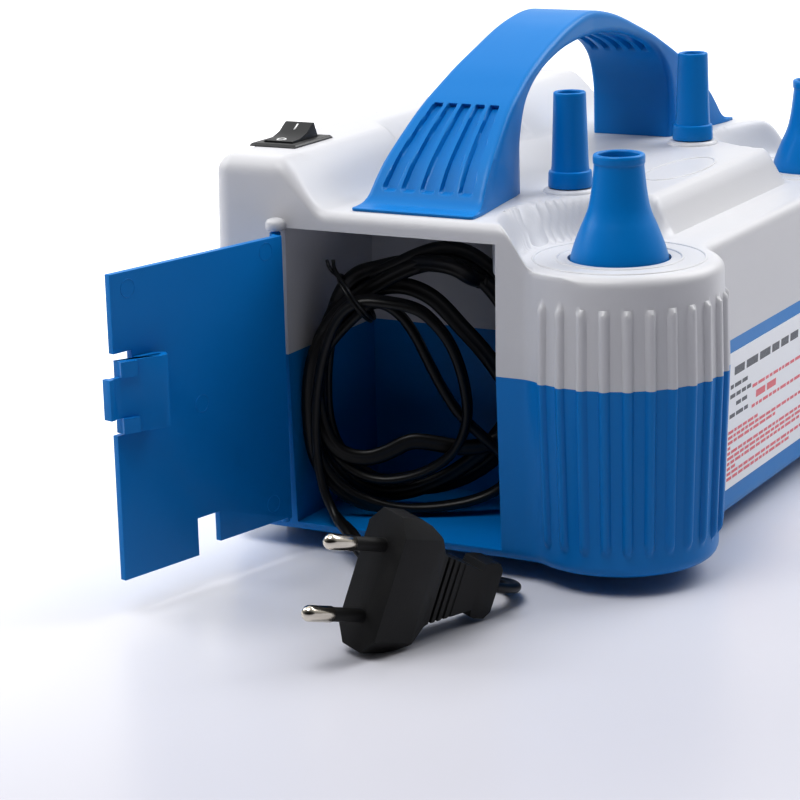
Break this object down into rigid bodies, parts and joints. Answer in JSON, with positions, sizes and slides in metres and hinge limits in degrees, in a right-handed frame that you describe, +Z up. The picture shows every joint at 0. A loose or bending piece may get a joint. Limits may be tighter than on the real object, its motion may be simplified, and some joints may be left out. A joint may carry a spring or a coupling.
{
  "type": "electric balloon pump",
  "caption": "Mains balloon pump with two motor towers under wide press-down nozzles, two slim nozzles, an arched handle and a cord compartment with a hinged door.",
  "frame": {"origin": "on the surface it stands on, under the middle of the pump's box with its door open", "axes": "+X to the right along the front, towards the towers; +Y to the rear, away from the cord compartment's door; +Z up"},
  "size_m": [0.139, 0.2777, 0.1382],
  "materials": {
    "blue_abs": "satin",
    "grey_abs": "satin",
    "zinc_steel": "zinc plated",
    "black_rubber": "matte",
    "paper_label": "satin",
    "black_nylon": "satin",
    "brass_tin": "plain",
    "black_pvc": "satin",
    "nickel": "polished nickel",
    "clear_hose": "satin",
    "spring_steel": "plain",
    "lamination_steel": "plain",
    "copper_wire": "lacquered copper",
    "commutator_copper": "turned copper",
    "carbon": "matte",
    "white_nylon": "satin"
  },
  "bodies": {
    "root": {"lower_housing": "blue_abs", "handle": "blue_abs", "upper_housing": "grey_abs", "handle_screws": "zinc_steel", "housing_screws": "zinc_steel", "rubber_feet": "black_rubber", "rating_label": "paper_label", "switch_case": "black_nylon", "switch_terminals": "brass_tin", "cord_gland": "black_pvc", "cord_coil": "black_pvc", "cord_tail": "black_pvc", "plug_body": "black_pvc", "cord_tie": "black_pvc", "plug_pins": "nickel", "front_air_duct": "clear_hose", "front_nozzle_spring": "spring_steel", "front_motor_field": "lamination_steel", "front_field_coils": "copper_wire", "front_motor_lower_frame": "zinc_steel", "front_motor_upper_frame": "zinc_steel", "front_motor_bearings": "spring_steel", "front_carbon_brushes": "carbon", "front_motor_mounts": "black_rubber", "front_fan_cover": "black_nylon", "front_fan_housing": "black_nylon", "front_nozzle_switch": "black_nylon", "rear_air_duct": "clear_hose", "rear_nozzle_spring": "spring_steel", "rear_motor_field": "lamination_steel", "rear_field_coils": "copper_wire", "rear_motor_lower_frame": "zinc_steel", "rear_motor_upper_frame": "zinc_steel", "rear_motor_bearings": "spring_steel", "rear_carbon_brushes": "carbon", "rear_motor_mounts": "black_rubber", "rear_fan_cover": "black_nylon", "rear_fan_housing": "black_nylon", "rear_nozzle_switch": "black_nylon"},
    "door": {"compartment_door": "blue_abs"},
    "latch": {"door_latch": "blue_abs"},
    "rocker": {"switch_rocker": "black_nylon"},
    "front_nozzle": {"front_wide_nozzle": "blue_abs"},
    "front_button": {"front_switch_button": "white_nylon"},
    "front_slim": {"front_slim_nozzle": "blue_abs"},
    "front_rotor": {"front_rotor_shaft": "spring_steel", "front_armature": "lamination_steel", "front_armature_winding": "copper_wire", "front_commutator": "commutator_copper", "front_fan_impeller": "white_nylon"},
    "rear_nozzle": {"rear_wide_nozzle": "blue_abs"},
    "rear_button": {"rear_switch_button": "white_nylon"},
    "rear_slim": {"rear_slim_nozzle": "blue_abs"},
    "rear_rotor": {"rear_rotor_shaft": "spring_steel", "rear_armature": "lamination_steel", "rear_armature_winding": "copper_wire", "rear_commutator": "commutator_copper", "rear_fan_impeller": "white_nylon"}
  },
  "joints": [
    {"name": "door_hinge", "type": "hinge", "parent": "root", "child": "door", "pos_m": [-0.0467, -0.06613, 0.0493], "axis": [0, 0, 1], "range_deg": [-60, 98]},
    {"name": "latch_flex", "type": "slide", "parent": "door", "child": "latch", "axis": [0.225, 0.9744, 0], "range_m": [0, 0.003], "stiffness_N_per_m": 600},
    {"name": "switch_rock", "type": "hinge", "parent": "root", "child": "rocker", "pos_m": [-0.0589, -0.03603, 0.1071], "axis": [1, 0, 0], "range_deg": [-20, 0]},
    {"name": "front_nozzle_press", "type": "slide", "parent": "root", "child": "front_nozzle", "axis": [0, 0, 1], "range_m": [-0.003, 0], "stiffness_N_per_m": 900, "springref_m": 0.002, "deforming": ["front_nozzle_spring"]},
    {"name": "front_button_press", "type": "slide", "parent": "root", "child": "front_button", "axis": [0, 0, 1], "range_m": [-0.003, 0]},
    {"name": "front_slim_pull", "type": "slide", "parent": "root", "child": "front_slim", "axis": [0, 0, 1], "range_m": [0, 0.012]},
    {"name": "front_motor_turn", "type": "hinge", "parent": "root", "child": "front_rotor", "pos_m": [0.0412, -0.04103, 0.049], "axis": [0, 0, 1], "continuous": true},
    {"name": "rear_nozzle_press", "type": "slide", "parent": "root", "child": "rear_nozzle", "axis": [0, 0, 1], "range_m": [-0.003, 0], "stiffness_N_per_m": 900, "springref_m": 0.002, "deforming": ["rear_nozzle_spring"]},
    {"name": "rear_button_press", "type": "slide", "parent": "root", "child": "rear_button", "axis": [0, 0, 1], "range_m": [-0.003, 0]},
    {"name": "rear_slim_pull", "type": "slide", "parent": "root", "child": "rear_slim", "axis": [0, 0, 1], "range_m": [0, 0.012]},
    {"name": "rear_motor_turn", "type": "hinge", "parent": "root", "child": "rear_rotor", "pos_m": [0.0412, 0.10397, 0.049], "axis": [0, 0, 1], "continuous": true}
  ],
  "couplings": [
    {"joint": "front_button_press", "follows": "front_nozzle_press", "ratio": 1},
    {"joint": "rear_button_press", "follows": "rear_nozzle_press", "ratio": 1}
  ]
}
